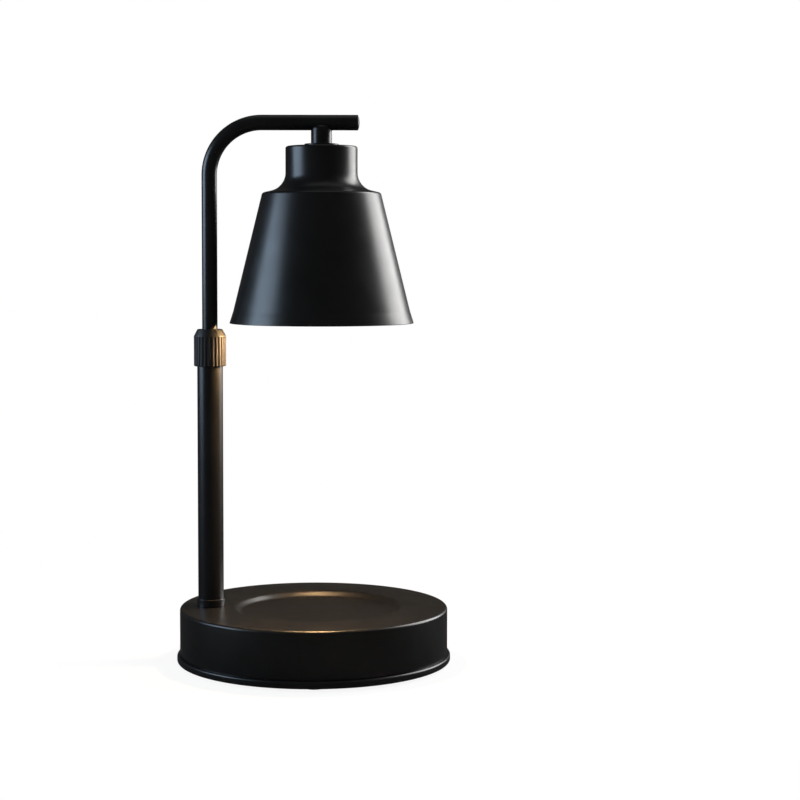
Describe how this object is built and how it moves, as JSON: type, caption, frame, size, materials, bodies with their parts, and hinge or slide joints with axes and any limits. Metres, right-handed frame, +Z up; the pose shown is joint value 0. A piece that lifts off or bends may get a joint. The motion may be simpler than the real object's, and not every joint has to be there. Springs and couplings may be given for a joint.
{
  "type": "candle warmer lamp",
  "caption": "Candle warmer lamp: round weighted base with a shallow candle dish, telescopic pole with a fluted collet, bent arm and a spun conical shade over a reflector lamp.",
  "frame": {"origin": "on the ground under the centre of the round base", "axes": "+Z up along the pole, +X from the pole side towards the free end of the arm"},
  "size_m": [0.15, 0.15, 0.2995],
  "materials": {
    "black_coat": "matt black powder coat",
    "black_rim": "matt black powder coat on pressed steel",
    "black_collet": "satin black coat on turned aluminium, fluted",
    "shade_coat": "matt black powder coat outside and inside",
    "rubber": "black rubber",
    "zinc_steel": "zinc plated steel",
    "spring_steel": "spring steel",
    "cast_iron": "plain cast iron",
    "black_nylon": "black nylon",
    "white_nylon": "natural nylon",
    "brass": "plain brass",
    "ceramic": "cream steatite ceramic",
    "reflector": "aluminised pressed glass",
    "lens_glass": "clear pressed front glass",
    "capsule_glass": "clear quartz glass"
  },
  "bodies": {
    "base": {"base_housing": "black_coat", "base_plate": "black_rim", "rubber_feet": "rubber", "plate_screws": "zinc_steel", "counterweight": "cast_iron", "weight_screws": "zinc_steel", "cord_gland": "black_nylon", "gland_nut": "black_nylon", "pole_ferrule": "black_coat", "outer_tube": "black_coat", "foot_plug": "zinc_steel", "foot_washer": "zinc_steel", "foot_nut": "zinc_steel", "collet_bush": "zinc_steel"},
    "collet": {"split_collet": "white_nylon"},
    "collet_nut": {"collet_nut": "black_collet"},
    "guide": {"guide_ring": "white_nylon"},
    "arm": {"arm_tube": "black_coat", "arm_cap": "black_coat", "tube_sleeve": "brass", "guide_clip": "spring_steel", "stem": "black_coat", "neck_washer": "black_coat", "nipple": "zinc_steel", "shade": "shade_coat", "shade_washer": "zinc_steel", "holder_strap": "zinc_steel", "nipple_nut": "zinc_steel", "holder_screws": "zinc_steel", "lamp_holder": "ceramic", "holder_contacts": "brass"},
    "lamp": {"lamp_cap": "ceramic", "lamp_pins": "brass", "lamp_reflector": "reflector", "lamp_lens": "lens_glass", "lamp_capsule": "capsule_glass"}
  },
  "joints": [
    {"name": "collet_lift", "type": "slide", "parent": "base", "child": "collet", "axis": [0, 0, 1], "range_m": [0, 0.0005]},
    {"name": "collet_turn", "type": "hinge", "parent": "collet", "child": "collet_nut", "pos_m": [-0.05645, 0, 0.17], "axis": [0, 0, 1], "range_deg": [0, 180]},
    {"name": "arm_height", "type": "slide", "parent": "base", "child": "guide", "axis": [0, 0, 1], "range_m": [-0.075, 0.02]},
    {"name": "arm_swing", "type": "hinge", "parent": "guide", "child": "arm", "pos_m": [-0.05645, 0, 0.29], "axis": [0, 0, 1], "range_deg": [-90, 90]},
    {"name": "lamp_twist", "type": "hinge", "parent": "arm", "child": "lamp", "pos_m": [0.0045, 0, 0.246], "axis": [0, 0, 1], "range_deg": [-25, 0]}
  ],
  "couplings": [
    {"joint": "collet_turn", "follows": "collet_lift", "rad_per_m": 6283.2}
  ]
}
